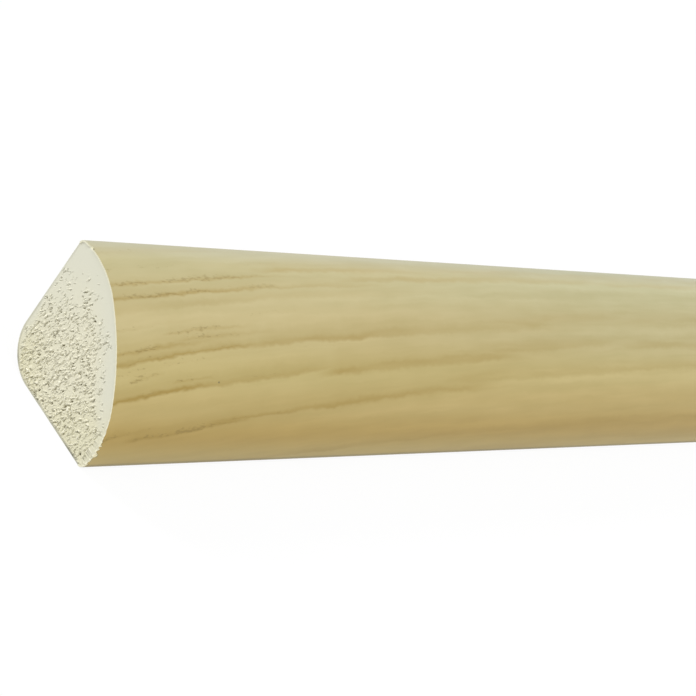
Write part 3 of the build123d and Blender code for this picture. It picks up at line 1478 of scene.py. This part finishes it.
@dataclass
class WoodGrainFilm:
    """The printed film over the curved face, chipped by the saw at its ends.

    Attributes:
        section: the moulding's section.
        length: the bar's length in millimetres.
        finish: how its print looks.
        cut: how its cut edges look.
        spacing: the distance between neighbouring points round the face.
        collar: how far from each end the ragged edge is evened out.
        fuzz: how ragged the sawn edge is between the bites.
        fuzz_step: the spacing of its teeth.
        fuzz_reach: how far round they are drawn, a little past the face's end.
        bitten: the stretch round the face where the saw came out and bit the film's edge.
        bite_width: the narrowest and the widest bite.
        bite_depth: the shallowest and the deepest bite.
        bite_pitch: the least and the greatest step to the next bite, as a share of the width.
        nick: the place, width and depth of the one nick near the upright back.
        crease: edges that turn by more than this, in degrees, are sharp.
        seed: where the random draw of the bites starts.
    """

    section: Section
    length: float
    finish: PrintFinish = field(default_factory=PrintFinish)
    cut: CutEdgeFinish = field(default_factory=CutEdgeFinish)
    spacing: float = 0.08
    collar: float = 2.0
    fuzz: float = 0.02
    fuzz_step: float = 0.3
    fuzz_reach: float = 33.0
    bitten: Pair = (0.5, 6.2)
    bite_width: Pair = (0.35, 0.85)
    bite_depth: Pair = (0.05, 0.22)
    bite_pitch: Pair = (0.9, 1.1)
    nick: Triple = (29.0, 0.6, 0.3)
    crease: float = 50.0
    seed: int = 5

    def chips(self, run: np.ndarray, seed: int) -> np.ndarray:
        """How far the saw broke the film back.

        Args:
            run: places round the face, in millimetres from the lower back.
            seed: where the random draw starts.

        Returns:
            The loss at each place, in millimetres along the bar.
        """
        draw = np.random.default_rng(seed)
        teeth = np.arange(0, self.fuzz_reach, self.fuzz_step)
        loss = self.fuzz * (1 + np.interp(run, teeth, draw.uniform(-1, 1, len(teeth))))
        start, end = self.bitten
        while start < end:
            width = draw.uniform(*self.bite_width)
            depth = draw.uniform(*self.bite_depth)
            loss = np.maximum(loss, self._bite(run, start + width / 2, width, depth))
            start += width * draw.uniform(*self.bite_pitch)
        return np.maximum(loss, self._bite(run, *self.nick))

    @staticmethod
    def _bite(run: np.ndarray, place: float, width: float, depth: float) -> np.ndarray:
        """One round bite out of the film's edge, in millimetres."""
        return depth * np.sqrt(np.clip(1 - ((run - place) / (width / 2)) ** 2, 0, 1))

    def build(self) -> Object:
        """Make the film as a closed shell, with a UV map in metres on its whole surface.

        Returns:
            The film, printed outside and plain on its edges and back.
        """
        half = self.length / 2
        outer, run = self.section.curved_face(0, self.spacing)
        inner, _ = self.section.curved_face(self.section.film_thickness, self.spacing)
        near = -half + self.chips(run, self.seed)
        far = half - self.chips(run, self.seed + 1)
        flat = np.ones(len(run))
        stations = [near, flat * (-half + self.collar), flat * 0.0, flat * (half - self.collar), far]
        points, places = [], []
        for skin in (outer, inner):
            for station in stations:
                points.append(np.column_stack([station, skin]))
                places.append(np.column_stack([station + half, run]))
        faces, printed = self._faces(len(stations), len(run))
        film = make_mesh("wood_grain_film_wrap", np.concatenate(points) * MM, faces)
        corners = np.empty(len(film.data.loops), np.int32)
        film.data.loops.foreach_get("vertex_index", corners)
        wrap = (np.concatenate(places) * MM)[corners]
        layer = film.data.uv_layers.new(name="wrap")
        layer.uv.foreach_set("vector", wrap.astype(np.float32).ravel())
        film.data.materials.append(self.finish.material(self.section.face_length, self.length))
        film.data.materials.append(self.cut.material())
        plain = len(faces) - printed
        film.data.polygons.foreach_set("material_index", [0] * printed + [1] * plain)
        sharpen(film, self.crease)
        return film

    @staticmethod
    def _faces(rows: int, count: int) -> tuple[list[tuple[int, ...]], int]:
        """The faces of the closed shell, all outwards.

        Args:
            rows: the rows of points along the bar, on the outside and again on the inside.
            count: the points in a row.

        Returns:
            The faces, the printed ones first, and how many are printed.
        """
        inside = rows * count
        numbers = np.arange(2 * inside).reshape(2, rows, count)
        # Each patch: its faces' first points, the steps along two sides of a face, and whether
        # the face has to be turned over.
        patches = (
            (numbers[0, :-1, :-1], count, 1, False),  # print
            (numbers[1, :-1, :-1], count, 1, True),  # seat
            (numbers[0, 0, :-1], 1, inside, False),  # near end
            (numbers[0, -1, :-1], 1, inside, True),  # far end
            (numbers[0, :-1, 0], inside, count, False),  # lower edge
            (numbers[0, :-1, -1], inside, count, True),  # upper edge
        )
        faces = []
        for firsts, step, side, over in patches:
            for a in firsts.ravel().tolist():
                quad = (a, a + step, a + step + side, a + side)
                faces.append(quad[::-1] if over else quad)
        return faces, patches[0][0].size

    def make(self) -> Object:
        """Returns:
            The film.
        """
        film = self.build()
        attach(film, BODY)
        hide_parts("wood_grain_film")
        return film


@dataclass(frozen=True)
class Viewpoint:
    """The camera, placed from the heel's corner on the near end.

    Attributes:
        offset: its place from that corner, in millimetres.
        heading: the way it looks, in degrees from +X towards +Y.
        dip: how far it looks down.
        roll: how far it is turned anticlockwise about its line of sight.
        focal_pixels: its focal length in pixels of the square picture.
        sensor: the side of its sensor in millimetres.
        clipping: the nearest and the furthest that it sees, in metres.
    """

    offset: Triple = (-179.62, -144.97, 144.02)
    heading: float = 31.004
    dip: float = 26.819
    roll: float = 37.791
    focal_pixels: float = 2279.0
    sensor: float = 36.0
    clipping: Pair = (0.01, 20.0)

    def make(self, corner: Vector) -> None:
        """Create the camera and make it the scene's.

        Args:
            corner: the heel's corner on the near end, in metres.
        """
        lens = bpy.data.cameras.new("camera")
        lens.sensor_width = self.sensor
        lens.lens = self.focal_pixels / IMAGE_SIDE * self.sensor
        lens.clip_start, lens.clip_end = self.clipping
        camera = bpy.data.objects.new("camera", lens)
        camera.location = corner + Vector(self.offset) * MM
        level = Matrix.Rotation(math.radians(self.heading - 90), 3, "Z")
        tipped = level @ Matrix.Rotation(math.radians(90 - self.dip), 3, "X")
        turned = tipped @ Matrix.Rotation(math.radians(self.roll), 3, "Z")
        camera.rotation_euler = turned.to_euler()
        bpy.context.scene.collection.objects.link(camera)
        bpy.context.scene.camera = camera


@dataclass(frozen=True)
class Lamp:
    """A broad distant lamp.

    Attributes:
        name: what it does.
        toward: the direction from the moulding to it.
        strength: its light on a surface that faces it.
        spread: how wide it looks from the moulding, in degrees.
    """

    name: str
    toward: Triple
    strength: float
    spread: float

    def make(self) -> None:
        """Hang the lamp."""
        light = bpy.data.lights.new(self.name, "SUN")
        light.energy = self.strength
        light.angle = math.radians(self.spread)
        holder = bpy.data.objects.new(self.name, light)
        holder.rotation_euler = Vector(self.toward).to_track_quat("Z", "Y").to_euler()
        bpy.context.scene.collection.objects.link(holder)


@dataclass(frozen=True)
class Studio:
    """A pale floor, an even white surround and two broad lamps.

    Attributes:
        floor_size: the side of the floor in metres.
        floor: the floor's colour in the light that it sends back to the moulding.
        floor_seen: its colour to the eye.
        floor_glow: how far the eye sees it as plain white, with the shadows faint.
        floor_roughness: how matt it is.
        surround: the strength of the even light.
        white: the colour of that light, and of the floor's glow.
        lamps: the lamps.
    """

    floor_size: float = 12.0
    floor: str = "#d2d2d0"
    floor_seen: str = "#f4f4f4"
    floor_glow: float = 0.93
    floor_roughness: float = 0.9
    surround: float = 0.72
    white: str = "#ffffff"
    lamps: tuple[Lamp, ...] = (
        Lamp("top_lamp", (-0.25, -0.25, 1.0), 1.05, 30.0),
        Lamp("end_lamp", (-0.42, 0.74, 0.52), 1.3, 8.0),
    )

    def make_floor(self) -> None:
        """Lay the floor that the moulding lies on."""
        reach = self.floor_size / 2
        corners = np.array([(-1, -1, 0), (1, -1, 0), (1, 1, 0), (-1, 1, 0)]) * reach
        floor = make_mesh("studio_floor", corners, [(0, 1, 2, 3)])
        # Matt white paint shows a soft shadow and no reflection.
        material, shader, add = new_material("studio_floor_white")
        seen = self._seen(add)
        tones = {0: seen, 6: srgb(self.floor), 7: srgb(self.floor_seen)}
        colour = add(MIX, tones, data_type="RGBA")
        feed(shader, {"Base Color": colour, "Roughness": self.floor_roughness})
        glow = add("ShaderNodeEmission", (srgb(self.white), 1.0))
        share = add(MATH, (seen, self.floor_glow), operation="MULTIPLY")
        mixed = add("ShaderNodeMixShader", (share, shader, glow))
        feed(material.node_tree.nodes["Material Output"], {"Surface": mixed})
        floor.data.materials.append(material)

    @staticmethod
    def _seen(add: Adder) -> Node:
        """Tell the rays that see the surround from those that light the moulding.

        Args:
            add: adds a node to the tree.

        Returns:
            1 for a ray from the camera, in a reflection or through glass, and else 0.
        """
        path = add("ShaderNodeLightPath").outputs
        rays = (path["Is Camera Ray"], path["Is Glossy Ray"], path["Is Transmission Ray"])
        return fold(add, MATH, rays, operation="MAXIMUM")

    def make_surround(self) -> None:
        """Set the world: white to the eye, and an even soft light on the moulding."""
        world = bpy.data.worlds.new("studio_surround")
        world.use_nodes = True
        add = partial(add_node, world.node_tree)
        strength = add(MAP_RANGE, (self._seen(add), 0.0, 1.0, self.surround, 1.0))
        background = world.node_tree.nodes["Background"]
        feed(background, {"Color": srgb(self.white), "Strength": strength})
        bpy.context.scene.world = world

    def make(self) -> None:
        """Set up the floor, the surround and the lamps."""
        self.make_floor()
        self.make_surround()
        for lamp in self.lamps:
            lamp.make()
        bpy.context.scene.view_settings.view_transform = "Standard"


def main() -> None:
    """Build the moulding and its studio, and report each piece."""
    logging.basicConfig(level=logging.INFO, format="%(name)s: %(message)s")
    section = Section()
    length = (CAD_BOX[1].x - CAD_BOX[0].x) / MM
    for part in (FoamCore(section, length), WoodGrainFilm(section, length)):
        piece = part.make()
        LOG.info("%s: %d faces", piece.name, len(piece.data.polygons))
    Studio().make()
    corner = Vector((CAD_BOX[0].x, section.rear * MM, 0.0))
    Viewpoint().make(corner)


if __name__ == "__main__":
    main()
